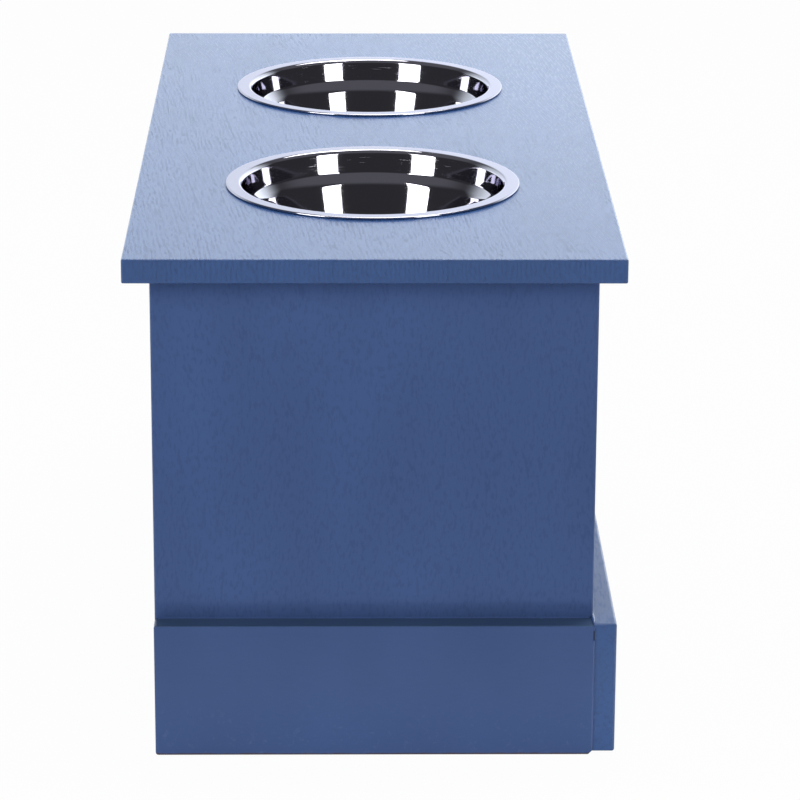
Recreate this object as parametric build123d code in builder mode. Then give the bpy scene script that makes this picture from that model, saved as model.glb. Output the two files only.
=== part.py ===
from build123d import *
import os

os.makedirs("parts", exist_ok=True)

# Raised feeding station: a painted timber chest that holds the food, under a hinged lid with
# two drop-in steel bowls. Millimetres. X runs along the chest, -Y is its front, +Z is up, and
# the origin is on the floor under the middle of the lid.

# Driving dimensions
HEIGHT = 362  # floor to the top of the lid
LID_LENGTH = 740
LID_WIDTH = 343
LID_THICKNESS = 17
OVERHANG = 18  # how far the lid stands out beyond the chest, all round
BOARD = 16  # thickness of the chest's sides and of the skirting
SKIRTING_HEIGHT = 97  # end skirting boards, which stand on the floor
FRONT_SKIRTING_FOOT = 2  # the front skirting board stops short of the floor
FRONT_SKIRTING_TOP = 98
FRONT_SKIRTING_INSET = 1  # its ends stop short of the end skirting's faces
EASE = 1.2  # rounding of the painted boards' edges
CORNER_ROUND = 2  # rounding of the end skirting's back corners
FOOT_CHAMFER = 2.5  # on the end skirting's front bottom corner
FRONT_EASE = 1.8  # rounding of the front skirting's edges
BUMPER_THICKNESS = 1.5  # felt dots that the closed lid rests on
BUMPER_RADIUS = 5
BUMPER_SPACING = 246  # from the front dots to the back ones

FLOOR_BOARD = 12  # thickness of the board that carries the food
FLOOR_CLEAT = 18  # square section of the cleats below it
FLOOR_CLEAT_FOOT = 14  # height of the cleats above the floor
POST = 20  # square section of the corner posts
POST_DROP = 12  # the posts stop this far below the rim of the chest

BOWL_RIM_RADIUS = 107
BOWL_SPACING = 318  # between the two bowls' axes
BOWL_DEPTH = 68  # from the top of the lid to the floor of the bowl
BOWL_SHEET = 0.8
BOWL_RIM_RISE = 1.9  # top of the rim above the lid
BOWL_SEAT_GAP = 0.2  # under the turned-down edge of the rim
BOWL_LIP = 10.1  # width of the flat rim
BOWL_THROAT = (94.9, -0.4)  # radius and height where the wall turns steeper
BOWL_STEP_TOP = (92, -14.8)  # the stacking step in the wall
BOWL_STEP_FOOT = (87.2, -21.6)
BOWL_FLOOR_RADIUS = 72.5
BOWL_ROUNDS = [1.1, 2.4, 3, 4, 4, 22]  # rim edge, lip, throat, step top, step foot, floor
LID_HOLE_RADIUS = 99.5

HINGE_SPAN = 500  # between the middles of the two hinges
HINGE_LENGTH = 64
LEAF_WIDTH = 12.5  # from the pin's axis to the leaf's outer edge
LEAF_THICKNESS = 1.2
LEAF_HOLE_PITCH = 23
LEAF_HOLE_REACH = 8  # from the pin's axis to the leaf's screw holes
KNUCKLES = 5
KNUCKLE_RADIUS = 3
KNUCKLE_GAP = 0.3  # between knuckles, and from the barrel to the timber
LEAF_NOTCH = 3.5  # from the pin's axis to the notches in the leaves
PIN_RADIUS = 1.25
PIN_BORE_RADIUS = 1.3
PIN_HEAD_RADIUS = 2.2
PIN_HEAD_LENGTH = 1

# Wood screws: countersunk, with a cross recess
SCREW_HEAD_RADIUS = 3.4
SCREW_HEAD_HEIGHT = 2.2
SCREW_RADIUS = 1.6
SCREW_TIP = 4
RECESS_WIDTH = 0.9
PILOT_RADIUS = 1.2  # hole that the thread bites into
CLEARANCE_RADIUS = 1.9  # hole that the shank passes through
POST_SCREW = 31
CLEAT_SCREW = 29
SKIRTING_SCREW = 27
FLOOR_SCREW = 25
HINGE_SCREW = 11
HINGE_HEAD_RADIUS = 2.6
HINGE_HEAD_HEIGHT = 1.1
HINGE_SHANK_RADIUS = 1.3
HINGE_PILOT_RADIUS = 1.0

# Where the screws stand along their boards
POST_SCREW_MARGIN = 45  # from either end of a post
SKIRTING_SCREW_DROP = 24  # below the top of the skirting
END_SKIRTING_SCREWS = (-85, 85)
FRONT_SKIRTING_SCREWS = (-270, -90, 90, 270)
END_CLEAT_SCREWS = (-60, 60)
SIDE_CLEAT_SCREWS = (-260, 0, 260)
FLOOR_SCREWS = (-210, -70, 70, 210)

# Places that follow from them
LID_UNDERSIDE = HEIGHT - LID_THICKNESS
CHEST_LENGTH = LID_LENGTH - 2 * OVERHANG
CHEST_WIDTH = LID_WIDTH - 2 * OVERHANG
CHEST_RIM = LID_UNDERSIDE - BUMPER_THICKNESS
END_X = CHEST_LENGTH / 2  # outer face of the end panels
SIDE_Y = CHEST_WIDTH / 2  # outer face of the front and back panels
INNER_X = END_X - BOARD
INNER_Y = SIDE_Y - BOARD
CLEAT_TOP = FLOOR_CLEAT_FOOT + FLOOR_CLEAT
CLEAT_SCREW_Z = FLOOR_CLEAT_FOOT + FLOOR_CLEAT / 2
STORE_FLOOR = CLEAT_TOP + FLOOR_BOARD
POST_X = INNER_X - POST
POST_Y = INNER_Y - POST
POST_TOP = CHEST_RIM - POST_DROP
POST_SCREW_HEIGHTS = (STORE_FLOOR + POST_SCREW_MARGIN, POST_TOP - POST_SCREW_MARGIN)
SKIRTING_SCREW_Z = SKIRTING_HEIGHT - SKIRTING_SCREW_DROP
PIN_Y = SIDE_Y + KNUCKLE_RADIUS + KNUCKLE_GAP
PIN_Z = LID_UNDERSIDE - KNUCKLE_RADIUS - KNUCKLE_GAP
HINGE_CENTRES = (-HINGE_SPAN / 2, HINGE_SPAN / 2)
KNUCKLE_PITCH = HINGE_LENGTH / KNUCKLES
KNUCKLE_LENGTH = KNUCKLE_PITCH - KNUCKLE_GAP


def write(part, name):
    """Labels one finished piece and writes it as its own file."""
    part.label = name
    export_step(part, f"parts/{name}.step")


def screw_solid(length, head_radius, head_height, radius):
    """A countersunk wood screw along -Z, with the top of its head at the origin."""
    with BuildPart() as screw:
        with BuildSketch(Plane.XZ):
            with BuildLine():
                Polyline(
                    (0, 0),
                    (head_radius, 0),
                    (radius, -head_height),
                    (radius, SCREW_TIP - length),
                    (0, -length),
                    close=True,
                )
            make_face()
        revolve(axis=Axis.Z)
        with BuildSketch(Plane.XY):
            Rectangle(head_radius, RECESS_WIDTH)
            Rectangle(RECESS_WIDTH, head_radius)
        extrude(amount=-head_height / 2, mode=Mode.SUBTRACT)
    return screw.part


def write_screws(name, screw, planes):
    """Writes one group of identical screws, each in its own place."""
    with BuildPart() as group:
        for plane in planes:
            with Locations(plane):
                add(screw)
    write(group.part, name)


def drill(planes, radius, depth):
    """Round holes into the open part, each along its plane's -Z."""
    down = (Align.CENTER, Align.CENTER, Align.MAX)
    for plane in planes:
        with Locations(plane):
            Cylinder(radius, depth, align=down, mode=Mode.SUBTRACT)


def countersink(planes, head_radius, head_height, radius, depth):
    """Screw holes with a sunk seat for the head, each along its plane's -Z."""
    down = (Align.CENTER, Align.CENTER, Align.MAX)
    for plane in planes:
        with Locations(plane):
            Cone(radius, head_radius, head_height, align=down, mode=Mode.SUBTRACT)
    drill(planes, radius, depth)


def sink_wood_screws(planes, depth):
    """Holes with sunk seats for wood screws, through a board of that thickness."""
    countersink(planes, SCREW_HEAD_RADIUS, SCREW_HEAD_HEIGHT, CLEARANCE_RADIUS, depth)


def drill_pilots(planes, screw_length, board):
    """Pilot holes for wood screws that come through a board of that thickness first."""
    drill(inset(planes, board), PILOT_RADIUS, screw_length - board)


def inset(planes, distance):
    """The same screws' planes where the screws enter the next piece."""
    return [plane.offset(-distance) for plane in planes]


def block(corner, opposite):
    """Adds a plain block between two opposite corners to the open part."""
    size = [abs(b - a) for a, b in zip(corner, opposite)]
    middle = [(a + b) / 2 for a, b in zip(corner, opposite)]
    with Locations(tuple(middle)):
        Box(*size)


# Where the screws go. Each plane's +Z points out of the screw's head.
def post_screws(side_x, side_y):
    """Screws of one corner post: two along X into the end panel, two along Y above them."""
    middle_x = side_x * (INNER_X - POST / 2)
    middle_y = side_y * (INNER_Y - POST / 2)
    to_end = [
        Plane(origin=(side_x * POST_X, middle_y, z), z_dir=(-side_x, 0, 0))
        for z in POST_SCREW_HEIGHTS
    ]
    to_side = [
        Plane(origin=(middle_x, side_y * POST_Y, z + POST), z_dir=(0, -side_y, 0))
        for z in POST_SCREW_HEIGHTS
    ]
    return to_end, to_side


def end_skirting_screws(side_x):
    """Screws that hold one end skirting board, from inside the chest."""
    return [
        Plane(origin=(side_x * INNER_X, y, SKIRTING_SCREW_Z), z_dir=(-side_x, 0, 0))
        for y in END_SKIRTING_SCREWS
    ]


def front_skirting_screws():
    """Screws that hold the front skirting board, from inside the chest."""
    return [
        Plane(origin=(x, -INNER_Y, SKIRTING_SCREW_Z), z_dir=(0, 1, 0))
        for x in FRONT_SKIRTING_SCREWS
    ]


def end_cleat_screws(side_x):
    """Screws that hold the floor cleat of one end panel."""
    face_x = side_x * (INNER_X - FLOOR_CLEAT)
    return [
        Plane(origin=(face_x, y, CLEAT_SCREW_Z), z_dir=(-side_x, 0, 0)) for y in END_CLEAT_SCREWS
    ]


def side_cleat_screws(side_y):
    """Screws that hold the floor cleat of the front or back panel."""
    face_y = side_y * (INNER_Y - FLOOR_CLEAT)
    return [
        Plane(origin=(x, face_y, CLEAT_SCREW_Z), z_dir=(0, -side_y, 0)) for x in SIDE_CLEAT_SCREWS
    ]


def floor_screws(side_y):
    """Screws through the floor board into one long cleat."""
    y = side_y * (INNER_Y - FLOOR_CLEAT / 2)
    return [Plane(origin=(x, y, STORE_FLOOR), z_dir=(0, 0, 1)) for x in FLOOR_SCREWS]


def hinge_screws(centre_x, on_lid):
    """Screws of one leaf: up into the lid, or forward into the back panel."""
    xs = [centre_x + step * LEAF_HOLE_PITCH for step in (-1, 0, 1)]
    if on_lid:
        y, z = PIN_Y + LEAF_HOLE_REACH, LID_UNDERSIDE - LEAF_THICKNESS
        return [Plane(origin=(x, y, z), z_dir=(0, 0, -1)) for x in xs]
    y, z = SIDE_Y + LEAF_THICKNESS, PIN_Z - LEAF_HOLE_REACH
    return [Plane(origin=(x, y, z), z_dir=(0, 1, 0)) for x in xs]


def drill_hinge_pilots(on_lid):
    """Pilot holes for the screws of both hinges' leaves on one side."""
    for centre_x in HINGE_CENTRES:
        planes = inset(hinge_screws(centre_x, on_lid), LEAF_THICKNESS)
        drill(planes, HINGE_PILOT_RADIUS, HINGE_SCREW - LEAF_THICKNESS)


# End panels: they run the full width of the chest and cover the ends of the front and back
for side_x, name in ((-1, "end_panel_left"), (1, "end_panel_right")):
    with BuildPart() as end_panel:
        block((side_x * INNER_X, -SIDE_Y, 0), (side_x * END_X, SIDE_Y, CHEST_RIM))
        fillet(end_panel.edges(), EASE)
        for side_y in (-1, 1):
            drill_pilots(post_screws(side_x, side_y)[0], POST_SCREW, POST)
        drill_pilots(end_cleat_screws(side_x), CLEAT_SCREW, FLOOR_CLEAT)
        sink_wood_screws(end_skirting_screws(side_x), BOARD)
    write(end_panel.part, name)

# Front and back panels, held between the end panels
for side_y, name in ((-1, "front_panel"), (1, "back_panel")):
    with BuildPart() as side_panel:
        block((-INNER_X, side_y * INNER_Y, 0), (INNER_X, side_y * SIDE_Y, CHEST_RIM))
        fillet(side_panel.edges().filter_by(Axis.X), EASE)
        for side_x in (-1, 1):
            drill_pilots(post_screws(side_x, side_y)[1], POST_SCREW, POST)
        drill_pilots(side_cleat_screws(side_y), CLEAT_SCREW, FLOOR_CLEAT)
        if side_y > 0:
            drill_hinge_pilots(False)
        else:
            sink_wood_screws(front_skirting_screws(), BOARD)
    write(side_panel.part, name)

# End skirting boards, on the outside of the end panels. Their front ends, which the front
# board covers, are left square, so that the joint closes.
for side_x, name in ((-1, "skirting_left"), (1, "skirting_right")):
    with BuildPart() as end_skirting:
        block((side_x * END_X, -SIDE_Y, 0), (side_x * (END_X + BOARD), SIDE_Y, SKIRTING_HEIGHT))
        fillet(end_skirting.edges().filter_by(Axis.X).group_by(Axis.Y)[-1], CORNER_ROUND)
        front_foot = end_skirting.edges().filter_by(Axis.X).group_by(Axis.Y)[0].sort_by(Axis.Z)[0]
        chamfer(front_foot, FOOT_CHAMFER)
        square_end = end_skirting.faces().sort_by(Axis.Y)[0].edges()
        rims = end_skirting.edges().filter_by(Axis.X, reverse=True)
        fillet([edge for edge in rims if edge not in square_end], EASE)
        drill_pilots(end_skirting_screws(side_x), SKIRTING_SCREW, BOARD)
    write(end_skirting.part, name)

# Front skirting board: it covers the ends of the other two
front_reach = END_X + BOARD - FRONT_SKIRTING_INSET
with BuildPart() as skirting_front:
    block(
        (-front_reach, -SIDE_Y - BOARD, FRONT_SKIRTING_FOOT),
        (front_reach, -SIDE_Y, FRONT_SKIRTING_TOP),
    )
    covered = skirting_front.faces().sort_by(Axis.Y)[-1].edges()
    fillet([edge for edge in skirting_front.edges() if edge not in covered], FRONT_EASE)
    drill_pilots(front_skirting_screws(), SKIRTING_SCREW, BOARD)
write(skirting_front.part, "skirting_front")

# Floor cleats: two long ones, and two short ones between them
for side_y, name in ((-1, "floor_cleat_front"), (1, "floor_cleat_back")):
    with BuildPart() as long_cleat:
        block(
            (-INNER_X, side_y * (INNER_Y - FLOOR_CLEAT), FLOOR_CLEAT_FOOT),
            (INNER_X, side_y * INNER_Y, CLEAT_TOP),
        )
        sink_wood_screws(side_cleat_screws(side_y), FLOOR_CLEAT)
        drill_pilots(floor_screws(side_y), FLOOR_SCREW, FLOOR_BOARD)
    write(long_cleat.part, name)
short_reach = INNER_Y - FLOOR_CLEAT
for side_x, name in ((-1, "floor_cleat_left"), (1, "floor_cleat_right")):
    with BuildPart() as short_cleat:
        block(
            (side_x * (INNER_X - FLOOR_CLEAT), -short_reach, FLOOR_CLEAT_FOOT),
            (side_x * INNER_X, short_reach, CLEAT_TOP),
        )
        sink_wood_screws(end_cleat_screws(side_x), FLOOR_CLEAT)
    write(short_cleat.part, name)

# Floor board that carries the food
with BuildPart() as floor_board:
    block((-INNER_X, -INNER_Y, CLEAT_TOP), (INNER_X, INNER_Y, STORE_FLOOR))
    for side_y in (-1, 1):
        sink_wood_screws(floor_screws(side_y), FLOOR_BOARD)
write(floor_board.part, "floor_board")

# Corner posts, standing on the floor board
for side_x, end_name in ((-1, "left"), (1, "right")):
    for side_y, side_name in ((-1, "front"), (1, "back")):
        with BuildPart() as post:
            block(
                (side_x * POST_X, side_y * POST_Y, STORE_FLOOR),
                (side_x * INNER_X, side_y * INNER_Y, POST_TOP),
            )
            for planes in post_screws(side_x, side_y):
                sink_wood_screws(planes, POST)
        write(post.part, f"corner_post_{side_name}_{end_name}")

# Lid: one board with a hole for each bowl
with BuildPart() as lid:
    block((-LID_LENGTH / 2, -LID_WIDTH / 2, LID_UNDERSIDE), (LID_LENGTH / 2, LID_WIDTH / 2, HEIGHT))
    with Locations((-BOWL_SPACING / 2, 0, HEIGHT), (BOWL_SPACING / 2, 0, HEIGHT)):
        Hole(LID_HOLE_RADIUS, LID_THICKNESS)
    fillet(lid.edges(), EASE)
    drill_hinge_pilots(True)
write(lid.part, "lid_panel")

# Felt dots under the corners of the lid
with BuildPart() as bumpers:
    with BuildSketch(Plane.XY.offset(CHEST_RIM)):
        with GridLocations(2 * END_X - BOARD, BUMPER_SPACING, 2, 2):
            Circle(BUMPER_RADIUS)
    extrude(amount=BUMPER_THICKNESS)
write(bumpers.part, "lid_bumpers")

# Bowls: pressed sheet with a flat rim, a stacking step in the wall and a flat floor
for side_x, name in ((-1, "bowl_left"), (1, "bowl_right")):
    bowl_x = side_x * BOWL_SPACING / 2
    with BuildPart() as bowl:
        with BuildSketch(Plane.XZ.shift_origin((bowl_x, 0, HEIGHT))):
            with BuildLine():
                food_side = FilletPolyline(
                    (BOWL_RIM_RADIUS, BOWL_SEAT_GAP),
                    (BOWL_RIM_RADIUS, BOWL_RIM_RISE),
                    (BOWL_RIM_RADIUS - BOWL_LIP, BOWL_RIM_RISE),
                    BOWL_THROAT,
                    BOWL_STEP_TOP,
                    BOWL_STEP_FOOT,
                    (BOWL_FLOOR_RADIUS, -BOWL_DEPTH),
                    (0, -BOWL_DEPTH),
                    radius=BOWL_ROUNDS,
                )
                offset(food_side, amount=BOWL_SHEET, side=Side.LEFT)
            make_face()
        revolve(axis=Axis((bowl_x, 0, 0), (0, 0, 1)))
    write(bowl.part, name)


# Hinges: a leaf on the back panel, a leaf under the lid's overhang, and a pin
def leaf_solid(centre_x, on_lid):
    """One hinge leaf: a plate with its share of the knuckles, and countersunk holes."""
    half = HINGE_LENGTH / 2
    first = 1 if on_lid else 0
    knuckles = [
        centre_x + (i - (KNUCKLES - 1) / 2) * KNUCKLE_PITCH for i in range(first, KNUCKLES, 2)
    ]
    with BuildPart() as leaf:
        if on_lid:
            block(
                (centre_x - half, PIN_Y + LEAF_NOTCH, LID_UNDERSIDE - LEAF_THICKNESS),
                (centre_x + half, PIN_Y + LEAF_WIDTH, LID_UNDERSIDE),
            )
        else:
            block(
                (centre_x - half, SIDE_Y, PIN_Z - LEAF_WIDTH),
                (centre_x + half, SIDE_Y + LEAF_THICKNESS, PIN_Z - LEAF_NOTCH),
            )
        for x in knuckles:
            low_x, high_x = x - KNUCKLE_LENGTH / 2, x + KNUCKLE_LENGTH / 2
            if on_lid:
                block(
                    (low_x, PIN_Y, LID_UNDERSIDE - LEAF_THICKNESS),
                    (high_x, PIN_Y + LEAF_NOTCH, LID_UNDERSIDE),
                )
            else:
                block(
                    (low_x, SIDE_Y, PIN_Z - LEAF_NOTCH),
                    (high_x, SIDE_Y + LEAF_THICKNESS, PIN_Z),
                )
            with Locations(Plane(origin=(x, PIN_Y, PIN_Z), z_dir=(1, 0, 0))):
                Cylinder(KNUCKLE_RADIUS, KNUCKLE_LENGTH)
        with Locations(Plane(origin=(centre_x, PIN_Y, PIN_Z), z_dir=(1, 0, 0))):
            Cylinder(PIN_BORE_RADIUS, HINGE_LENGTH, mode=Mode.SUBTRACT)
        countersink(
            hinge_screws(centre_x, on_lid),
            HINGE_HEAD_RADIUS,
            HINGE_HEAD_HEIGHT,
            HINGE_SHANK_RADIUS,
            LEAF_THICKNESS,
        )
    return leaf.part


for centre_x, name in zip(HINGE_CENTRES, ("left", "right")):
    write(leaf_solid(centre_x, False), f"hinge_{name}_back_leaf")
    write(leaf_solid(centre_x, True), f"hinge_{name}_lid_leaf")
    with BuildPart() as pin:
        with Locations(Plane(origin=(centre_x, PIN_Y, PIN_Z), z_dir=(1, 0, 0))):
            Cylinder(PIN_RADIUS, HINGE_LENGTH)
        for side_x in (-1, 1):
            head_x = centre_x + side_x * (HINGE_LENGTH + PIN_HEAD_LENGTH) / 2
            with Locations(Plane(origin=(head_x, PIN_Y, PIN_Z), z_dir=(1, 0, 0))):
                Cylinder(PIN_HEAD_RADIUS, PIN_HEAD_LENGTH)
    write(pin.part, f"hinge_{name}_pin")

# Screws, one group for each length and place
hinge_screw = screw_solid(HINGE_SCREW, HINGE_HEAD_RADIUS, HINGE_HEAD_HEIGHT, HINGE_SHANK_RADIUS)
for on_lid, name in ((False, "hinge_screws_back"), (True, "hinge_screws_lid")):
    write_screws(name, hinge_screw, [p for x in HINGE_CENTRES for p in hinge_screws(x, on_lid)])

corners = [(side_x, side_y) for side_x in (-1, 1) for side_y in (-1, 1)]
wood_screw_groups = (
    ("post_screws", POST_SCREW, [post_screws(*c)[way] for c in corners for way in (0, 1)]),
    ("cleat_screws", CLEAT_SCREW, [end_cleat_screws(s) + side_cleat_screws(s) for s in (-1, 1)]),
    (
        "skirting_screws",
        SKIRTING_SCREW,
        [end_skirting_screws(-1), end_skirting_screws(1), front_skirting_screws()],
    ),
    ("floor_screws", FLOOR_SCREW, [floor_screws(-1), floor_screws(1)]),
)
for name, length, runs in wood_screw_groups:
    screw = screw_solid(length, SCREW_HEAD_RADIUS, SCREW_HEAD_HEIGHT, SCREW_RADIUS)
    write_screws(name, screw, [plane for run in runs for plane in run])
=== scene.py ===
"""Raised feeding station: a painted timber storage chest under a hinged lid that holds two
polished steel bowls. Metres; X runs along the chest, -Y is its front, +Z is up."""

import math

import bmesh
import bpy
from mathutils import Matrix, Vector


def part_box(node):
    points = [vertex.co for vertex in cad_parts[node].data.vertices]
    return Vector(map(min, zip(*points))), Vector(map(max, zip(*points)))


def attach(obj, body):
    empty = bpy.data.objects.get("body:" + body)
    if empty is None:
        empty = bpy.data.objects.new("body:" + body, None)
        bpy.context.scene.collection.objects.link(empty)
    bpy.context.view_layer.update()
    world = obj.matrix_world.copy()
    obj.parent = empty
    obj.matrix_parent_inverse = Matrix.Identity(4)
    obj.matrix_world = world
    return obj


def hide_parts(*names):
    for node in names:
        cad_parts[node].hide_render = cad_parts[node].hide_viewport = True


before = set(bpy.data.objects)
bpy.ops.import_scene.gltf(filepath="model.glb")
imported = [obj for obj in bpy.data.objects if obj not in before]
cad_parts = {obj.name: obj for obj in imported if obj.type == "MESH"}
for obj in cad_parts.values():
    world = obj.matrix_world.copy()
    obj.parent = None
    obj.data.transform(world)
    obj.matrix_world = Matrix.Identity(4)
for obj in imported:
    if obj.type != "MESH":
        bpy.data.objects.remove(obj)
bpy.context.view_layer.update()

MM = 0.001

# Sizes that the frame gives
LID_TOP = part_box("lid_panel")[1].z
INNER_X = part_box("end_panel_right")[0].x  # inside faces of the chest
INNER_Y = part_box("back_panel")[0].y
END_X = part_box("end_panel_right")[1].x  # outer faces of the end panels
CHEST_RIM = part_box("back_panel")[1].z
SKIRTING_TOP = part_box("skirting_left")[1].z
SKIRTING_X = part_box("skirting_right")[1].x
BUTT_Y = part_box("skirting_left")[0].y  # where the front skirting covers the ends' boards
FRONT_SKIRTING_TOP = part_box("skirting_front")[1].z
BOWL_X = (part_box("bowl_right")[0].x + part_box("bowl_right")[1].x) / 2


# ---------------------------------------------------------------- small helpers


def srgb(code):
    """Linear colour of an sRGB hex value."""
    channels = [int(code[i : i + 2], 16) / 255 for i in (1, 3, 5)]
    linear = [c / 12.92 if c <= 0.04045 else ((c + 0.055) / 1.055) ** 2.4 for c in channels]
    return (*linear, 1.0)


def add(tree, kind, inputs=None, **settings):
    """Adds a shader node with its settings, and sets or links its inputs. A node given as an
    input is linked from the first output that it has in use."""
    made = tree.nodes.new("ShaderNode" + kind)
    for name, value in settings.items():
        setattr(made, name, value)
    for key, value in (inputs or {}).items():
        if isinstance(value, bpy.types.Node):
            value = next(output for output in value.outputs if output.enabled)
        if isinstance(value, bpy.types.NodeSocket):
            tree.links.new(value, made.inputs[key])
        else:
            made.inputs[key].default_value = value
    return made


def new_material(name):
    """An empty node material and its tree."""
    material = bpy.data.materials.new(name)
    material.use_nodes = True
    material.node_tree.nodes.clear()
    return material, material.node_tree


def piece_from(bm, name, material):
    """Turns a bmesh into a smooth shaded object of one material."""
    bmesh.ops.recalc_face_normals(bm, faces=bm.faces)
    mesh = bpy.data.meshes.new(name)
    bm.to_mesh(mesh)
    bm.free()
    mesh.shade_smooth()
    mesh.materials.append(material)
    piece = bpy.data.objects.new(name, mesh)
    bpy.context.scene.collection.objects.link(piece)
    return piece


def dress(material, *nodes):
    """Gives CAD nodes a finish."""
    for name in nodes:
        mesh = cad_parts[name].data
        mesh.materials.clear()
        mesh.materials.append(material)


# ---------------------------------------------------------------- bare wood

SPRING_WOOD = srgb("#E6D3AE")
SUMMER_WOOD = srgb("#CFA973")
PINE_FLECK = srgb("#B8905F")
RING_SPACING = 5.5 * MM
RING_PITH = (0.05, 0.09, -0.13)  # where the rings are centred, off the boards
RING_STRETCH = 0.06  # along the board, where the rings run nearly straight
FIBRE_WIDTH = 0.35 * MM
FIBRE_LENGTH = 16 * MM
FIBRE_RELIEF = 0.05 * MM
WAVE_CYCLE = math.tau / 20  # length of one wave of a Wave Texture at a scale of 1


def bare_pine(tree, along):
    """The shader of planed, unfinished pine: broad pale spring wood between narrow darker rings,
    fine fibres that catch the light, and no gloss."""
    coords = add(tree, "TexCoord").outputs["Object"]
    stretch = [1.0, 1.0, 1.0]
    stretch["XYZ".index(along)] = RING_STRETCH
    trunk = add(tree, "Mapping", {"Vector": coords, "Location": RING_PITH, "Scale": stretch})
    rings = add(
        tree,
        "TexWave",
        {
            "Vector": trunk,
            "Scale": WAVE_CYCLE / RING_SPACING,
            "Distortion": 4.5,
            "Detail": 2.0,
            "Detail Scale": 0.25,
        },
        wave_type="RINGS",
        rings_direction=along,
        wave_profile="SAW",
    )
    late = add(
        tree,
        "MapRange",
        {"Value": rings, "From Min": 0.3, "From Max": 0.97, "To Max": 0.8},
        interpolation_type="SMOOTHSTEP",
    )
    cells = [1 / FIBRE_WIDTH] * 3
    cells["XYZ".index(along)] = 1 / FIBRE_LENGTH
    fibre_place = add(tree, "Mapping", {"Vector": coords, "Scale": cells})
    fibres = add(tree, "TexNoise", {"Vector": fibre_place, "Scale": 1.0, "Detail": 2.0})
    flecks = add(
        tree, "MapRange", {"Value": fibres, "From Min": 0.58, "From Max": 0.78, "To Max": 0.5}
    )
    wood = add(tree, "Mix", {0: late, 6: SPRING_WOOD, 7: SUMMER_WOOD}, data_type="RGBA")
    flecked = add(tree, "Mix", {0: flecks, 6: wood, 7: PINE_FLECK}, data_type="RGBA")
    rough = add(tree, "MapRange", {"Value": late, "To Min": 0.72, "To Max": 0.58})
    bump = add(tree, "Bump", {"Height": fibres, "Strength": 1.0, "Distance": FIBRE_RELIEF})
    return add(
        tree, "BsdfPrincipled", {"Base Color": flecked, "Roughness": rough, "Normal": bump}
    )


def planed_pine(name, along):
    """Pine battens and boards, planed and left bare inside the chest."""
    material, tree = new_material(name)
    add(tree, "OutputMaterial", {"Surface": bare_pine(tree, along)})
    return material


# ---------------------------------------------------------------- where the paint differs

RIM_LAP = 15 * MM  # how far the coat runs down inside the chest's rim
RIM_LAP_WAVES = 9 * MM  # swing of the coat's ragged edge there
INNER_EDGES = (0.3 * MM, 0.8 * MM)  # outwards from the inner faces, where bare wood ends
HOLE_RADIUS = 99.5 * MM  # of the lid's two holes
HOLE_LAP = 4 * MM  # how far the coat runs down inside them
HOLE_LAP_WAVES = 5 * MM
PATCH_SWING = 1.6  # of the lighter patches along an arris, wear and painted highlight
PATCH_LEVEL = 0.85
TOP_COLOUR_DROPS = (0.7 * MM, 0.2 * MM)  # below the top, where the top face's colour starts and is full
SCUFF_SIZE = 6 * MM
SCUFF_HEIGHTS = (12 * MM, 48 * MM)  # full strength below the first, and none above the second
SCUFF_SHARE = 0.22
CRACK_DROPS = (3.5 * MM, 11 * MM)  # where the butt joint is open, below the skirting's top
CRACK_TAPERS = (1 * MM, 1.5 * MM)  # how it closes at its top and at its foot
CRACK_EDGES = (0.3 * MM, 0.8 * MM)  # from the crack's middle, where it is dark and where it ends
BARE_FOOT = (1 * MM, 2 * MM)  # the bottom edge is bare below the first, and coated above the second
BARE_FOOT_WAVES = 1.6 * MM
BARE_FOOT_SHARE = 0.9
SCUFFED_BLUE = srgb("#7087B4")
# the open butt joint, drawn dark: painted shade in the crack
CRACK_SHADE = srgb("#1C2740")
# dark brown of the bare bottom edge: bare wood, darkened as painted shade where the edge turns under
BARE_FOOT_AND_SHADE = srgb("#5B4A49")


def inside_chest(tree, place, ragged):
    """1 on the chest's inner faces, up to where the coat laps over the rim."""
    side = add(tree, "Math", {0: place.outputs["X"]}, operation="ABSOLUTE")
    depth = add(tree, "Math", {0: place.outputs["Y"]}, operation="ABSOLUTE")
    past_side = add(tree, "Math", {0: side, 1: INNER_X}, operation="SUBTRACT")
    past_depth = add(tree, "Math", {0: depth, 1: INNER_Y}, operation="SUBTRACT")
    wall = add(tree, "Math", {0: past_side, 1: past_depth}, operation="MAXIMUM")
    start, stop = INNER_EDGES
    limits = {"Value": wall, "From Min": start, "From Max": stop}
    inner = add(tree, "MapRange", {**limits, "To Min": 1, "To Max": 0})
    wavy = {0: ragged, 1: RIM_LAP_WAVES, 2: place.outputs["Z"]}
    height = add(tree, "Math", wavy, operation="MULTIPLY_ADD")
    lap = CHEST_RIM - RIM_LAP
    limits = {"Value": height, "From Min": lap, "From Max": lap + 1 * MM}
    low = add(tree, "MapRange", {**limits, "To Min": 1, "To Max": 0})
    return add(tree, "Math", {0: inner, 1: low}, operation="MULTIPLY")


def inside_bowl_holes(tree, place, ragged):
    """1 on the sawn walls of the lid's two holes, under the paint that ran over their edge."""
    side = add(tree, "Math", {0: place.outputs["X"]}, operation="ABSOLUTE")
    offset = add(tree, "Math", {0: side, 1: BOWL_X}, operation="SUBTRACT")
    flat = add(tree, "CombineXYZ", {"X": offset, "Y": place.outputs["Y"]})
    radius = add(tree, "VectorMath", {0: flat}, operation="LENGTH")
    start = HOLE_RADIUS + 0.1 * MM
    stop = HOLE_RADIUS + 0.3 * MM
    limits = {"Value": radius, "From Min": start, "From Max": stop}
    wall = add(tree, "MapRange", {**limits, "To Min": 1, "To Max": 0})
    wavy = {0: ragged, 1: HOLE_LAP_WAVES, 2: place.outputs["Z"]}
    height = add(tree, "Math", wavy, operation="MULTIPLY_ADD")
    lap = LID_TOP - HOLE_LAP
    limits = {"Value": height, "From Min": lap, "From Max": lap + 0.5 * MM}
    low = add(tree, "MapRange", {**limits, "To Min": 1, "To Max": 0})
    return add(tree, "Math", {0: wall, 1: low}, operation="MULTIPLY")


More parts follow.
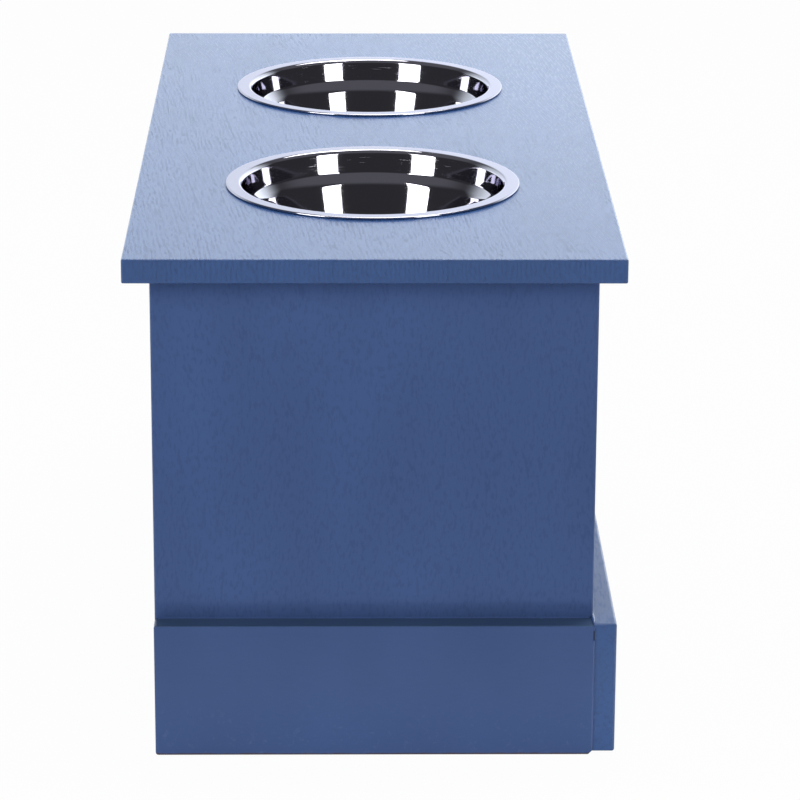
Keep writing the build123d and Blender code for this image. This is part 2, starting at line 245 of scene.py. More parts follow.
def worn_and_highlit_arrises(tree, place, ragged, node, reach):
    """1 along the rounded outer edges of a board and its mirrored twin, in patches: where the coat is
    lighter, as wear and painted highlight.
    """
    low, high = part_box(node)
    away_x = add(tree, "Math", {0: place.outputs["X"]}, operation="ABSOLUTE")
    away_y = add(tree, "Math", {0: place.outputs["Y"]}, operation="ABSOLUTE")
    faces = (
        (max(-low.x, high.x), away_x),
        (max(-low.y, high.y), away_y),
        (high.z, place.outputs["Z"]),
    )
    near = []
    for face, distance in faces:
        depth = add(tree, "Math", {0: face, 1: distance}, operation="SUBTRACT")
        limits = {"Value": depth, "From Min": 0.2 * reach, "From Max": reach}
        near.append(add(tree, "MapRange", {**limits, "To Min": 1, "To Max": 0}))
    end_edge = add(tree, "Math", {0: near[0], 1: near[1]}, operation="MULTIPLY")
    side_edge = add(tree, "Math", {0: near[1], 1: near[2]}, operation="MULTIPLY")
    top_edge = add(tree, "Math", {0: near[2], 1: near[0]}, operation="MULTIPLY")
    either = add(tree, "Math", {0: end_edge, 1: side_edge}, operation="MAXIMUM")
    edges = add(tree, "Math", {0: either, 1: top_edge}, operation="MAXIMUM")
    swung = {0: ragged, 1: PATCH_SWING, 2: PATCH_LEVEL}
    patchy = add(tree, "Math", swung, operation="MULTIPLY_ADD", use_clamp=True)
    return add(tree, "Math", {0: edges, 1: patchy}, operation="MULTIPLY")


def skirting_marks(tree, coords, place, ragged, colour, top_colour):
    """The coat of a skirting board with its marks: its top face in its own colour, which on the end
    skirting is painted shade on the ledge, scuffs near the floor, the crack down the butt joint drawn
    dark as painted shade, and the brown line where the bottom edge was left bare, darkened as painted
    shade."""
    height = place.outputs["Z"]
    # The top face: on the end skirting a darker, greyer blue, which is painted shade on the ledge
    start, stop = (SKIRTING_TOP - drop for drop in TOP_COLOUR_DROPS)
    top = add(tree, "MapRange", {"Value": height, "From Min": start, "From Max": stop})
    topped = add(tree, "Mix", {0: top, 6: colour, 7: top_colour}, data_type="RGBA")

    start, stop = SCUFF_HEIGHTS
    limits = {"Value": height, "From Min": start, "From Max": stop}
    low = add(tree, "MapRange", {**limits, "To Min": SCUFF_SHARE, "To Max": 0})
    rubbed = add(
        tree,
        "TexNoise",
        {"Vector": coords, "Scale": 1 / SCUFF_SIZE, "Detail": 5.0, "Distortion": 2.0},
    )
    rubs = add(tree, "MapRange", {"Value": rubbed, "From Min": 0.6, "From Max": 0.7})
    scuffs = add(tree, "Math", {0: rubs, 1: low}, operation="MULTIPLY")
    scuffed = add(tree, "Mix", {0: scuffs, 6: topped, 7: SCUFFED_BLUE}, data_type="RGBA")

    # The crack down the butt joint, drawn dark as painted shade
    from_butt = add(tree, "Math", {0: place.outputs["Y"], 1: BUTT_Y}, operation="SUBTRACT")
    width = add(tree, "Math", {0: from_butt}, operation="ABSOLUTE")
    start, stop = CRACK_EDGES
    limits = {"Value": width, "From Min": start, "From Max": stop}
    near = add(tree, "MapRange", {**limits, "To Min": 1, "To Max": 0})
    crack_top, crack_foot = (SKIRTING_TOP - drop for drop in CRACK_DROPS)
    closing, opening = CRACK_TAPERS
    start, stop = crack_foot - opening, crack_foot + opening
    above = add(tree, "MapRange", {"Value": height, "From Min": start, "From Max": stop})
    limits = {"Value": height, "From Min": crack_top - closing, "From Max": crack_top}
    below = add(tree, "MapRange", {**limits, "To Min": 1, "To Max": 0})
    opened = add(tree, "Math", {0: above, 1: below}, operation="MULTIPLY")
    crack = add(tree, "Math", {0: near, 1: opened}, operation="MULTIPLY")
    cracked = add(tree, "Mix", {0: crack, 6: scuffed, 7: CRACK_SHADE}, data_type="RGBA")

    # The bare bottom edge, drawn dark: bare wood and painted shade
    wavy = {0: ragged, 1: BARE_FOOT_WAVES, 2: height}
    lifted = add(tree, "Math", wavy, operation="MULTIPLY_ADD")
    start, stop = BARE_FOOT
    limits = {"Value": lifted, "From Min": start, "From Max": stop}
    foot = add(tree, "MapRange", {**limits, "To Min": BARE_FOOT_SHARE, "To Max": 0})
    return add(tree, "Mix", {0: foot, 6: cracked, 7: BARE_FOOT_AND_SHADE}, data_type="RGBA")


# ---------------------------------------------------------------- paint

PAINT_BLUE = srgb("#4A6396")
FULL_BLUE = srgb("#3D619B")  # on the lid and the front skirting, which took the thickest coat
PORE_BLUE = srgb("#3D4F7A")  # where the coat is thin, over the pores
FULL_PORE = srgb("#2E3F68")  # the same on the lid, whose pores are deeper
LEDGE_PAINTED_SHADE = srgb("#475F80")  # darker and greyer, on the top faces of the end skirting boards: painted shade on the ledge under the end panels
WORN_EDGE_HIGHLIGHT_BLUE = srgb("#9BAACB")  # on the arrises: paint rubbed by hands and cloths, and painted highlight of the rounded edges
FLOW_SIZES = (230 * MM, 85 * MM)  # how far apart the grain's slow bends and its ripples are
RIPPLE_SHARE = 0.4  # of the ripples' swing in that of the slow bends
PORE_LEVEL = 0.43  # noise below this is a pore
PORE_EDGE = 0.07  # and it fades over this much on both sides
CHAIN_CELLS = 0.16  # to a pore, of the noise that gathers the pores in chains
CHAIN_EDGES = (0.4, 0.62)
CHAIN_GAPS = 0.7  # share of a pore's depth that is left between the chains
BRUSH_MARK = 2.4 * MM
BRUSH_DEPTH = 0.004 * MM
RAGGED_SIZE = 11 * MM  # of the waves in the coat's edges
DRIFT_TURN = (0.6, 0.0, 0.0)  # of the brushed lengths that dried lighter and darker
DRIFT_CELLS = (6, 14, 5)  # to a metre: about 170 mm long, 70 mm wide and 200 mm high
DRIFT_SHADES = (0.94, 1.06)


def grain_place(tree, coords, along, width, length, swing, lean):
    """Coordinates in cells of one grain line, stretched along an axis, leaned, bent and rippled."""
    bent = coords
    for size, reach in zip(FLOW_SIZES, (swing, swing * RIPPLE_SHARE)):
        bend = add(tree, "TexNoise", {"Vector": coords, "Scale": 1 / size, "Detail": 0.0})
        centred = add(
            tree,
            "VectorMath",
            {0: bend.outputs["Color"], 1: (0.5, 0.5, 0.5)},
            operation="SUBTRACT",
        )
        shift = add(tree, "VectorMath", {0: centred, "Scale": reach}, operation="SCALE")
        bent = add(tree, "VectorMath", {0: bent, 1: shift}, operation="ADD")
    leaned = add(tree, "Mapping", {"Vector": bent, "Rotation": lean})
    cells = [1 / width] * 3
    cells["XYZ".index(along)] = 1 / length
    return add(tree, "Mapping", {"Vector": leaned, "Scale": cells})


def painted_timber(
    name,
    along,
    pore,
    pits,
    gloss,
    blue=PAINT_BLUE,
    deep=PORE_BLUE,
    tone=1.0,
    lines=None,
    edge_wear_and_highlight=None,
    bare=None,
    skirting_top_colour=None,
):
    """Satin enamel brushed over open-grained timber: the coat sinks into the pores, so the grain
    shows as short dashes in chains, and low light catches them.

    pore is a dash's width and length, the swing of the grain's bends and its lean. pits is a dash's
    depth and its share of the deep colour. gloss is the coat's roughness, its rise in the pores and
    the IOR. lines is the spacing of the grain's lines and how far they gather the pores.
    edge_wear_and_highlight is a board, and the width and share of the lighter paint on its edges,
    which is wear and painted highlight. bare makes the mask of unpainted wood. skirting_top_colour is
    the colour of a skirting board's top, which on the end skirting is painted shade."""
    width, length, swing, lean = pore
    depth, contrast = pits
    roughness, rise, ior = gloss
    material, tree = new_material(name)
    coords = add(tree, "TexCoord").outputs["Object"]
    place = add(tree, "SeparateXYZ", {0: coords})

    # The pores, where the noise is low, gathered along the grain's lines and in chains
    cells = grain_place(tree, coords, along, width, length, swing, lean)
    pores = add(
        tree, "TexNoise", {"Vector": cells, "Scale": 1.0, "Detail": 1.5, "Roughness": 0.6}
    )
    level = PORE_LEVEL
    if lines:
        spacing, lined = lines
        bands = add(
            tree,
            "TexWave",
            {
                "Vector": cells,
                "Scale": WAVE_CYCLE * width / spacing,
                "Distortion": 3.5,
                "Detail": 1.0,
                "Detail Scale": 2.0,
            },
            bands_direction="Y",
        )
        pores = add(tree, "Math", {0: bands, 1: lined, 2: pores}, operation="MULTIPLY_ADD")
        level += lined / 2
    limits = {"Value": pores, "From Min": level - PORE_EDGE, "From Max": level + PORE_EDGE}
    dashes = add(
        tree,
        "MapRange",
        {**limits, "To Min": 1, "To Max": 0},
        interpolation_type="SMOOTHSTEP",
    )
    rivers = add(tree, "Mapping", {"Vector": cells, "Scale": [CHAIN_CELLS] * 3})
    flows = add(tree, "TexNoise", {"Vector": rivers, "Scale": 1.0, "Detail": 1.0})
    start, stop = CHAIN_EDGES
    limits = {"Value": flows, "From Min": start, "From Max": stop}
    chains = add(tree, "MapRange", {**limits, "To Min": CHAIN_GAPS, "To Max": 1.0})
    sunk = add(tree, "Math", {0: dashes, 1: chains}, operation="MULTIPLY")

    # The colour: deeper in the pores, marked, lighter on the edges as wear and painted highlight, and
    # drifting along the brush
    shown = add(tree, "Math", {0: sunk, 1: contrast}, operation="MULTIPLY")
    coat = add(tree, "Mix", {0: shown, 6: blue, 7: deep}, data_type="RGBA")
    waves = add(tree, "TexNoise", {"Vector": coords, "Scale": 1 / RAGGED_SIZE, "Detail": 2.0})
    ragged = add(tree, "Math", {0: waves, 1: 0.5}, operation="SUBTRACT")
    if skirting_top_colour:
        coat = skirting_marks(tree, coords, place, ragged, coat, skirting_top_colour)
    # Lighter paint along the edges: wear, and a painted highlight on the rounded arrises
    if edge_wear_and_highlight:
        node, reach, share = edge_wear_and_highlight
        rubbed = worn_and_highlit_arrises(tree, place, ragged, node, reach)
        wear_and_highlight_share = add(tree, "Math", {0: rubbed, 1: share}, operation="MULTIPLY")
        coat = add(tree, "Mix", {0: wear_and_highlight_share, 6: coat, 7: WORN_EDGE_HIGHLIGHT_BLUE}, data_type="RGBA")
    drift_place = add(
        tree, "Mapping", {"Vector": coords, "Rotation": DRIFT_TURN, "Scale": DRIFT_CELLS}
    )
    drift = add(tree, "TexNoise", {"Vector": drift_place, "Scale": 1.0, "Detail": 1.5})
    darkest, lightest = (shade * tone for shade in DRIFT_SHADES)
    limits = {"Value": drift, "From Min": 0.3, "From Max": 0.7}
    shade = add(tree, "MapRange", {**limits, "To Min": darkest, "To Max": lightest})
    toned = add(tree, "HueSaturation", {"Color": coat, "Value": shade})

    # The gloss and relief: duller and lower in the pores, over the marks of the brush
    rough = add(
        tree, "MapRange", {"Value": sunk, "To Min": roughness, "To Max": roughness + rise}
    )
    strokes = add(tree, "TexNoise", {"Vector": coords, "Scale": 1 / BRUSH_MARK, "Detail": 1.0})
    brushed = add(tree, "Bump", {"Height": strokes, "Strength": 1.0, "Distance": BRUSH_DEPTH})
    relief = add(
        tree, "Bump", {"Height": pores, "Strength": 1.0, "Distance": depth, "Normal": brushed}
    )
    surface = add(
        tree,
        "BsdfPrincipled",
        {"Base Color": toned, "Roughness": rough, "Normal": relief, "IOR": ior},
    )
    if bare:
        mask = bare(tree, place, ragged)
        surface = add(tree, "MixShader", {0: mask, 1: surface, 2: bare_pine(tree, along)})
    add(tree, "OutputMaterial", {"Surface": surface})
    return material


PANEL_PORES = (1.9 * MM, 5.5 * MM, 20 * MM, (0, 0, 0))
PANEL_PITS = (0.018 * MM, 0.33)
PANEL_GLOSS = (0.42, 0.1, 1.25)  # the upright boards drank more of the coat, and are duller
SKIRTING_PORES = (2.6 * MM, 14 * MM, 15 * MM, (0, 0, 0))
SKIRTING_PITS = (0.0015 * MM, 0.05)
SKIRTING_GLOSS = (0.38, 0.03, 1.25)

# The fullest coat over the most open grain: its lines and pores show most
lid_paint = painted_timber(
    "satin_enamel_brushed_on_lid",
    "X",
    pore=(1.15 * MM, 9 * MM, 18 * MM, (0, 0, -0.14)),
    pits=(0.024 * MM, 0.5),
    gloss=(0.25, 0.08, 1.42),
    blue=FULL_BLUE,
    deep=FULL_PORE,
    lines=(3.2 * MM, 0.16),
    edge_wear_and_highlight=("lid_panel", 1.2 * MM, 0.3),
    bare=inside_bowl_holes,
)
# A duller coat over shorter and softer pores, along the panels and up the ends
long_panel_paint = painted_timber(
    "satin_enamel_brushed_on_long_panels",
    "X",
    PANEL_PORES,
    PANEL_PITS,
    PANEL_GLOSS,
    tone=1.08,
    edge_wear_and_highlight=("back_panel", 1.2 * MM, 0.3),
    bare=inside_chest,
)
end_panel_paint = painted_timber(
    "satin_enamel_brushed_on_end_panels",
    "Z",
    PANEL_PORES,
    PANEL_PITS,
    PANEL_GLOSS,
    tone=1.08,
    edge_wear_and_highlight=("end_panel_right", 1.2 * MM, 0.3),
    bare=inside_chest,
)
# The end skirting's coat filled nearly all the pores, so it looks smooth
end_skirting_paint = painted_timber(
    "satin_enamel_brushed_on_end_skirting",
    "Y",
    SKIRTING_PORES,
    SKIRTING_PITS,
    SKIRTING_GLOSS,
    tone=0.97,
    edge_wear_and_highlight=("skirting_right", 1.2 * MM, 0.08),
    # its top face darker and greyer: painted shade on the ledge
    skirting_top_colour=LEDGE_PAINTED_SHADE,
)
# The front skirting took the lid's coat, and is lightest along its top edge, as wear and painted
# highlight
front_skirting_paint = painted_timber(
    "satin_enamel_brushed_on_front_skirting",
    "X",
    SKIRTING_PORES,
    pits=(0.02 * MM, 0.4),
    gloss=(0.3, 0.12, 1.42),
    blue=FULL_BLUE,
    tone=0.95,
    edge_wear_and_highlight=("skirting_front", 1.8 * MM, 0.35),
    skirting_top_colour=FULL_BLUE,
)
# Paint that set thick in the corners is smooth and glossy
set_paint = painted_timber(
    "satin_enamel_set_in_corners",
    "Y",
    SKIRTING_PORES,
    SKIRTING_PITS,
    gloss=(0.2, 0.03, 1.42),
    tone=1.05,
)

# ---------------------------------------------------------------- metal and felt

# a faint blue cast that the steel itself lacks: painted reflection of the blue surroundings
STEEL_WITH_REFLECTED_BLUE = srgb("#C6C5CE")
WALL_RADIUS = 95 * MM  # of the bowls, where the scratches are
SCRATCH_CELLS = (WALL_RADIUS / (22 * MM), 1 / (0.4 * MM), 1)  # 22 mm round and 0.4 mm high
SCRATCH_DROPS = (14 * MM, 9 * MM)  # few below the first, all above the second
RIPPLE_CELLS = (WALL_RADIUS / (30 * MM), 1 / (4 * MM), 1)
RIPPLE_DEPTH = 0.003 * MM


def polished_steel():
    """Stainless steel sheet, pressed, spun and buffed to a mirror. The buffing wheel left short
    hairline scratches that run round the wall and glint beside the lamps."""
    material, tree = new_material("stainless_steel_mirror_polished")
    coords = add(tree, "TexCoord").outputs["Object"]
    place = add(tree, "SeparateXYZ", {0: coords})
    side = add(tree, "Math", {0: place.outputs["X"]}, operation="ABSOLUTE")
    offset = add(tree, "Math", {0: side, 1: BOWL_X}, operation="SUBTRACT")
    turn = add(tree, "Math", {0: place.outputs["Y"], 1: offset}, operation="ARCTAN2")
    ring = add(tree, "CombineXYZ", {"X": turn, "Y": place.outputs["Z"]})
    around = add(tree, "Mapping", {"Vector": ring, "Scale": SCRATCH_CELLS})
    hairs = add(tree, "TexNoise", {"Vector": around, "Scale": 1.0, "Detail": 1.0})
    scratched = add(tree, "MapRange", {"Value": hairs, "From Min": 0.7, "From Max": 0.78})
    start, stop = (LID_TOP - drop for drop in SCRATCH_DROPS)
    limits = {"Value": place.outputs["Z"], "From Min": start, "From Max": stop}
    upper = add(tree, "MapRange", {**limits, "To Min": 0.25})
    scratches = add(tree, "Math", {0: scratched, 1: upper}, operation="MULTIPLY")
    haze = add(tree, "TexNoise", {"Vector": coords, "Scale": 1 / (30 * MM), "Detail": 3.0})
    clean = add(tree, "MapRange", {"Value": haze, "To Min": 0.03, "To Max": 0.07})
    rough = add(tree, "Math", {0: scratches, 1: 0.4, 2: clean}, operation="MULTIPLY_ADD")
    ripples = add(tree, "Mapping", {"Vector": ring, "Scale": RIPPLE_CELLS})
    spun = add(tree, "TexNoise", {"Vector": ripples, "Scale": 1.0, "Detail": 1.0})
    bump = add(tree, "Bump", {"Height": spun, "Strength": 1.0, "Distance": RIPPLE_DEPTH})
    shader = add(
        tree,
        "BsdfPrincipled",
        {
            "Base Color": STEEL_WITH_REFLECTED_BLUE,
            "Specular Tint": STEEL_WITH_REFLECTED_BLUE,
            "Metallic": 1.0,
            "Roughness": rough,
            "Normal": bump,
        },
    )
    add(tree, "OutputMaterial", {"Surface": shader})
    return material


def bright_zinc():
    """Steel with bright zinc plating: silvery with a faint blue cast, clouded by its passivation
    and finely scratched in the parts drum."""
    material, tree = new_material("steel_bright_zinc_plated")
    coords = add(tree, "TexCoord").outputs["Object"]
    clouds = add(tree, "TexNoise", {"Vector": coords, "Scale": 1 / (4 * MM), "Detail": 3.0})
    colour = add(
        tree, "Mix", {0: clouds, 6: srgb("#AEB4BD"), 7: srgb("#D3D6DA")}, data_type="RGBA"
    )
    scratch_cells = (1 / (0.3 * MM), 1 / (5 * MM), 1 / (0.3 * MM))
    streaks = add(tree, "Mapping", {"Vector": coords, "Scale": scratch_cells})
    scratches = add(tree, "TexNoise", {"Vector": streaks, "Scale": 1.0, "Detail": 2.0})
    limits = {"Value": scratches, "From Min": 0.3, "From Max": 0.7}
    rough = add(tree, "MapRange", {**limits, "To Min": 0.22, "To Max": 0.42})
    bump = add(tree, "Bump", {"Height": scratches, "Strength": 1.0, "Distance": 0.006 * MM})
    shader = add(
        tree,
        "BsdfPrincipled",
        {"Base Color": colour, "Metallic": 1.0, "Roughness": rough, "Normal": bump},
    )
    add(tree, "OutputMaterial", {"Surface": shader})
    return material


def pressed_felt():
    """Dark grey wool felt, pressed and die cut: matted fibres with a soft bloom at low angles."""
    material, tree = new_material("wool_felt_pressed")
    coords = add(tree, "TexCoord").outputs["Object"]
    fibres = add(
        tree,
        "TexNoise",
        {"Vector": coords, "Scale": 1 / (0.5 * MM), "Detail": 4.0, "Distortion": 1.5},
    )
    colour = add(
        tree, "Mix", {0: fibres, 6: srgb("#262322"), 7: srgb("#57514D")}, data_type="RGBA"
    )
    bump = add(tree, "Bump", {"Height": fibres, "Strength": 1.0, "Distance": 0.15 * MM})
    shader = add(
        tree,
        "BsdfPrincipled",
        {"Base Color": colour, "Roughness": 0.95, "Sheen Weight": 0.3, "Normal": bump},
    )
    add(tree, "OutputMaterial", {"Surface": shader})
    return material


# ---------------------------------------------------------------- the boards and fittings

ENDS = ("left", "right")

dress(lid_paint, "lid_panel")
dress(long_panel_paint, "front_panel", "back_panel")
dress(end_panel_paint, *(f"end_panel_{end}" for end in ENDS))
dress(end_skirting_paint, *(f"skirting_{end}" for end in ENDS))
dress(front_skirting_paint, "skirting_front")
dress(
    planed_pine("pine_planed_along_length", "X"),
    "floor_board",
    "floor_cleat_front",
    "floor_cleat_back",
)
dress(planed_pine("pine_planed_across", "Y"), *(f"floor_cleat_{end}" for end in ENDS))
dress(
    planed_pine("pine_planed_upright", "Z"),
    *(f"corner_post_{side}_{end}" for side in ("front", "back") for end in ENDS),
)
dress(
    bright_zinc(),
    *(f"hinge_{end}_{part}" for end in ENDS for part in ("back_leaf", "lid_leaf", "pin")),
    *(f"{group}_screws" for group in ("post", "cleat", "skirting", "floor")),
    "hinge_screws_back",
    "hinge_screws_lid",
)
dress(pressed_felt(), "lid_bumpers")

# ---------------------------------------------------------------- paint in the corners

BEAD_STEP = 2 * MM
BEAD_SIDES = 10
PANEL_BEAD = 0.6 * MM  # radius, where the end skirting meets the panel
JOINT_BEAD = 0.8 * MM  # in the butt joint, above and below its crack
FRONT_BEAD = 1.0 * MM
BEAD_END = 2 * MM  # the beads stop this far short of the boards' ends
JOINT_BEAD_SINK = 0.5 * MM  # behind the skirting's face
JOINT_BEAD_DROP = 0.6 * MM  # below the skirting's top
JOINT_BEAD_FOOT = 4 * MM  # above the floor
FRONT_BEAD_DROP = 0.3 * MM


def paint_bead(name, runs, radius):
    """Paint that gathered along inside corners and set there, thicker in some places."""
    bm = bmesh.new()
    for start, end in runs:
        start, end = Vector(start), Vector(end)
        run = end - start
        bmesh.ops.create_cone(
            bm,
            cap_ends=True,
            segments=BEAD_SIDES,
            radius1=radius,
            radius2=radius,
            depth=run.length,
        )
        sides = [e for e in bm.edges if not e.verts[0].tag and e.calc_length() > 0.9 * run.length]
        cuts = max(1, round(run.length / BEAD_STEP))
        bmesh.ops.subdivide_edges(bm, edges=sides, cuts=cuts, use_grid_fill=True)
        verts = [vert for vert in bm.verts if not vert.tag]
        for vert in verts:
            along = vert.co.z / MM  # the bead swells and thins in waves of a few millimetres
            swell = 1 + 0.22 * math.sin(along / 3.1) * math.sin(along / 17 + 1)
            swell += 0.1 * math.sin(along / 7.3)
            vert.co.x *= swell
            vert.co.y *= swell
            vert.tag = True
        turn = run.to_track_quat("Z", "Y").to_matrix().to_4x4()
        middle = Matrix.Translation((start + end) / 2)
        bmesh.ops.transform(bm, matrix=middle @ turn, verts=verts)
    piece = piece_from(bm, name, set_paint)
    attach(piece, "cabinet")


for side, end in ((-1, "left"), (1, "right")):
    corner_x = side * END_X
    reach_y = -BUTT_Y - BEAD_END
    paint_bead(
        f"paint_bead_over_skirting_{end}",
        [((corner_x, -reach_y, SKIRTING_TOP), (corner_x, reach_y, SKIRTING_TOP))],
        PANEL_BEAD,
    )
    face_x = side * (SKIRTING_X - JOINT_BEAD_SINK)
    top = SKIRTING_TOP - JOINT_BEAD_DROP
    crack_top, crack_foot = (SKIRTING_TOP - drop for drop in CRACK_DROPS)
    paint_bead(
        f"paint_bead_in_butt_joint_{end}",
        [
            ((face_x, BUTT_Y, top), (face_x, BUTT_Y, crack_top)),
            ((face_x, BUTT_Y, crack_foot), (face_x, BUTT_Y, JOINT_BEAD_FOOT)),
        ],
        JOINT_BEAD,
    )

reach_x = SKIRTING_X - BEAD_END
bead_z = FRONT_SKIRTING_TOP - FRONT_BEAD_DROP
paint_bead(
    "paint_bead_over_skirting_front",
    [((-reach_x, BUTT_Y, bead_z), (reach_x, BUTT_Y, bead_z))],
    FRONT_BEAD,
)

# ---------------------------------------------------------------- bowls

BOWL_SHEET = 0.8 * MM
BOWL_PROFILE = (  # the food side in mm: radius, height above the lid, and the corner's rounding
    (105.8, 0.2, 0),  # the edge, curled under
    (107, 0.2, 0.85),
    (107, 1.9, 0.82),
    (96.9, 1.9, 2.4),  # where the flat rim ends
    (94.9, -0.4, 3),
    (92.0, -14.8, 5),  # the stacking step
    (87.2, -21.6, 18),
    (72.5, -68, 22),  # the floor
    (0, -68, 0),
)
ARC_STEPS = 10
RUN_STEPS = 6
BOWL_STEPS = 192


def rounded_profile(corners):
    """Points along a profile in metres, with arcs at its corners and even steps between."""
    points = []
    placed = [(Vector((r, z)) * MM, rounding * MM) for r, z, rounding in corners]
    for i, (corner, rounding) in enumerate(placed):
        if rounding == 0:
            arc = [corner]
        else:
            back = (placed[i - 1][0] - corner).normalized()
            ahead = (placed[i + 1][0] - corner).normalized()
            half = math.acos(max(-1, min(1, back.dot(ahead)))) / 2
            middle = corner + (back + ahead).normalized() * rounding / math.sin(half)
            start = corner + back * rounding / math.tan(half) - middle
            end = corner + ahead * rounding / math.tan(half) - middle
            turns = [start.slerp(end, step / ARC_STEPS) for step in range(ARC_STEPS + 1)]
            arc = [middle + turn * rounding for turn in turns]
        if points:
            last = points[-1]
            points += [last.lerp(arc[0], step / RUN_STEPS) for step in range(1, RUN_STEPS)]
        points += arc
    return points


def steel_bowl(name, node, steel):
    """A drop-in bowl, spun from its food-side profile and thickened to sheet."""
    low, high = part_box(node)
    centre = (low + high) / 2
    bm = bmesh.new()
    verts = [
        bm.verts.new((centre.x + point.x, centre.y, LID_TOP + point.y))
        for point in rounded_profile(BOWL_PROFILE)
    ]
    edges = [bm.edges.new(pair) for pair in zip(verts, verts[1:])]
    bmesh.ops.spin(
        bm,
        geom=verts + edges,
        cent=centre,
        axis=(0, 0, 1),
        angle=math.tau,
        steps=BOWL_STEPS,
        use_merge=True,
    )
    bmesh.ops.remove_doubles(bm, verts=bm.verts, dist=0.01 * MM)
    piece = piece_from(bm, name, steel)
    sheet = piece.modifiers.new("sheet", "SOLIDIFY")
    sheet.thickness = BOWL_SHEET
    sheet.offset = -1
    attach(piece, node)
    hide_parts(node)


mirror_steel = polished_steel()
for end in ENDS:
    steel_bowl(f"steel_bowl_{end}", f"bowl_{end}", mirror_steel)

# ---------------------------------------------------------------- studio

FLOOR_SIZE = 12
FLOOR_WHITE = (0.52, 0.52, 0.52, 1)
FLOOR_GLOW = 0.975  # share of the floor's brightness that is the backdrop's own white
SWEEP_WHITE = srgb("#F2FAFF")
SWEEP_SIDES = (0.25, 0.75)  # where the sweep starts and is full, as X over level distance
SWEEP_TOP = (0.35, 0.6)  # rise of the rays, up from which it fades
SWEEP_LEVELS = (3.04, 1.37)  # at the floor and at its top
SWEEP_GRADE = 0.25  # half the span of sideways rays over which its level changes
SWEEP_SIDE_LEVELS = (0.76, 1.24)  # towards the back side and the front side
CEILING_START = (0.45, 0.7)
ROOM_TINT = (1.0, 0.99, 1.12)
ROOM_LEVELS = (0.037, 0.125)  # near end of the room, and its ceiling


def seen_as_backdrop(tree, share):
    """How far a ray sees the plain white backdrop: camera rays and mirror images do."""
    path = add(tree, "LightPath")
    sight = {0: path.outputs["Is Camera Ray"], 1: path.outputs["Is Glossy Ray"]}
    seen = add(tree, "Math", sight, operation="MAXIMUM")
    through = {0: seen, 1: path.outputs["Is Transmission Ray"]}
    clear = add(tree, "Math", through, operation="MAXIMUM")
    return add(tree, "Math", {0: clear, 1: share}, operation="MULTIPLY")


def white_floor():
    """A pale floor that reads as white, and still takes a soft shadow."""
    bm = bmesh.new()
    bmesh.ops.create_grid(bm, x_segments=1, y_segments=1, size=FLOOR_SIZE)
    material, tree = new_material("studio_floor_white")
    diffuse = add(tree, "BsdfDiffuse", {"Color": FLOOR_WHITE})
    glow = add(tree, "Emission", {"Color": (1, 1, 1, 1), "Strength": 1.0})
    share = seen_as_backdrop(tree, FLOOR_GLOW)
    mixed = add(tree, "MixShader", {0: share, 1: diffuse, 2: glow})
    add(tree, "OutputMaterial", {"Surface": mixed})
    floor = piece_from(bm, "studio_floor", material)


def studio_world():
    """A white sweep behind the far end, brightest low down and towards the front side, and a
    dark room at the near end under a grey ceiling. The camera sees white all round."""
    world = bpy.data.worlds.new("studio")
    world.use_nodes = True
    tree = world.node_tree
    tree.nodes.clear()
    ray = add(tree, "SeparateXYZ", {0: add(tree, "TexCoord").outputs["Generated"]})

    # The sweep's level, by the height and side of the ray
    start, stop = SWEEP_LEVELS
    upwards = add(
        tree,
        "MapRange",
        {
            "Value": ray.outputs["Z"],
            "From Max": SWEEP_TOP[0],
            "To Min": start,
            "To Max": stop,
        },
    )
    start, stop = SWEEP_SIDE_LEVELS
    sideways = add(
        tree,
        "MapRange",
        {
            "Value": ray.outputs["Y"],
            "From Min": SWEEP_GRADE,
            "From Max": -SWEEP_GRADE,
            "To Min": start,
            "To Max": stop,
        },
        interpolation_type="SMOOTHSTEP",
    )
    level = add(tree, "Math", {0: sideways, 1: upwards}, operation="MULTIPLY")
    white = add(tree, "VectorMath", {0: SWEEP_WHITE[:3], "Scale": level}, operation="SCALE")

    # How much of a ray meets the sweep: ahead of the camera and not too high
    flat = add(tree, "CombineXYZ", {"X": ray.outputs["X"], "Y": ray.outputs["Y"]})
    length = add(tree, "VectorMath", {0: flat}, operation="LENGTH")
    facing = add(tree, "Math", {0: ray.outputs["X"], 1: length}, operation="DIVIDE")
    start, stop = SWEEP_SIDES
    inside = add(
        tree,
        "MapRange",
        {"Value": facing, "From Min": start, "From Max": stop},
        interpolation_type="SMOOTHSTEP",
    )
    start, stop = SWEEP_TOP
    limits = {"Value": ray.outputs["Z"], "From Min": start, "From Max": stop}
    under = add(
        tree, "MapRange", {**limits, "To Min": 1, "To Max": 0}, interpolation_type="SMOOTHSTEP"
    )
    swept = add(tree, "Math", {0: inside, 1: under}, operation="MULTIPLY")

    # The dark room, and its ceiling
    start, stop = CEILING_START
    near_end, ceiling = ROOM_LEVELS
    limits = {"Value": ray.outputs["Z"], "From Min": start, "From Max": stop}
    room = add(
        tree,
        "MapRange",
        {**limits, "To Min": near_end, "To Max": ceiling},
        interpolation_type="SMOOTHSTEP",
    )
    grey = add(tree, "VectorMath", {0: ROOM_TINT, "Scale": room}, operation="SCALE")

    studio = add(tree, "Mix", {0: swept, 6: grey, 7: white}, data_type="RGBA")
    path = add(tree, "LightPath")
    sight = {0: path.outputs["Is Camera Ray"], 6: studio, 7: (1, 1, 1, 1)}
    seen = add(tree, "Mix", sight, data_type="RGBA")
    back = add(tree, "Background", {"Color": seen})
    add(tree, "OutputWorld", {"Surface": back})
    bpy.context.scene.world = world


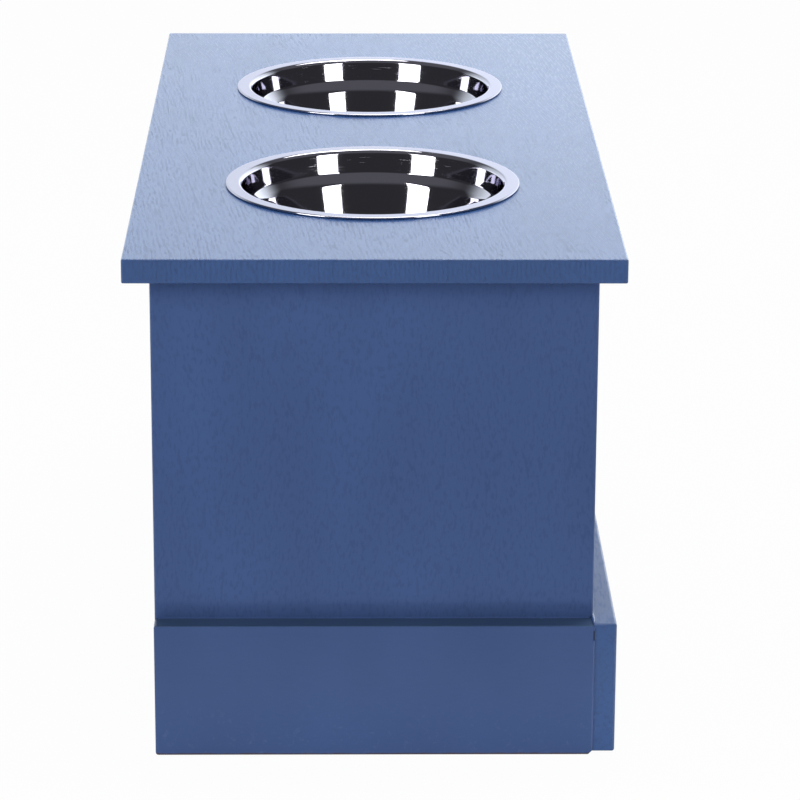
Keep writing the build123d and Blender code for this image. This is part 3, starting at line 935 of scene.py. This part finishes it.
def softbox(name, place, target, width, height, radiance, mirrored=True):
    """A rectangular soft light of even brightness that faces a point."""
    light = bpy.data.lights.new(name, "AREA")
    light.shape = "RECTANGLE"
    light.size = width
    light.size_y = height
    light.energy = radiance * math.pi * width * height
    lamp = bpy.data.objects.new(name, light)
    lamp.location = place
    lamp.rotation_mode = "QUATERNION"
    lamp.rotation_quaternion = (Vector(place) - Vector(target)).to_track_quat("Z", "Y")
    lamp.visible_camera = False
    lamp.visible_glossy = mirrored
    bpy.context.scene.collection.objects.link(lamp)


CAMERA_PLACE = (-2.8009, 0.0208, 1.0276)
CAMERA_TURNS = (-0.898, 17.464, 0.252)  # degrees to the side, down, and about the line of sight
CAMERA_LENS = 168  # mm, on a sensor 36 mm wide


def camera():
    """A long lens at the near end, looking slightly down along the chest."""
    yaw, pitch, roll = (math.radians(angle) for angle in CAMERA_TURNS)
    forward = Vector(
        (math.cos(pitch) * math.cos(yaw), math.cos(pitch) * math.sin(yaw), -math.sin(pitch))
    )
    level_right = forward.cross(Vector((0, 0, 1))).normalized()
    level_up = level_right.cross(forward)
    right = level_right * math.cos(roll) + level_up * math.sin(roll)
    up = level_up * math.cos(roll) - level_right * math.sin(roll)
    turn = Matrix((right, up, -forward)).transposed().to_4x4()
    data = bpy.data.cameras.new("camera")
    data.lens = CAMERA_LENS
    data.sensor_width = 36
    viewer = bpy.data.objects.new("camera", data)
    viewer.matrix_world = Matrix.Translation(CAMERA_PLACE) @ turn
    bpy.context.scene.collection.objects.link(viewer)
    bpy.context.scene.camera = viewer


white_floor()
studio_world()
# Tall boxes at both sides of the camera, a box overhead, and strips close to the near end that
# lighten the shade at the foot, on the skirting's top and under the lid
softbox("softbox_front_side", (-1.79, -1.56, 1.05), (0, -1.56, 0.95), 1.02, 1.1, 5.3)
softbox("softbox_back_side", (-1.3, 1.43, 1.05), (0, 1.43, 0.95), 1.08, 1.1, 5.55)
softbox("fill_at_skirting", (-0.47, -0.02, 0.02), (0, -0.02, 0.02), 0.7, 0.03, 1.6, mirrored=False)
softbox("fill_at_foot", (-0.46, -0.02, 0.135), (-0.35, -0.02, 0.1), 0.7, 0.02, 0.2, mirrored=False)
softbox("fill_under_lid", (-0.46, -0.02, 0.29), (-0.35, -0.02, 0.3), 0.5, 0.02, 0.8, mirrored=False)
softbox("softbox_above", (0.6, -0.3, 2.5), (0.2, -0.1, 0.0), 1.6, 1.6, 5.6)
camera()

bpy.context.scene.view_settings.view_transform = "Standard"
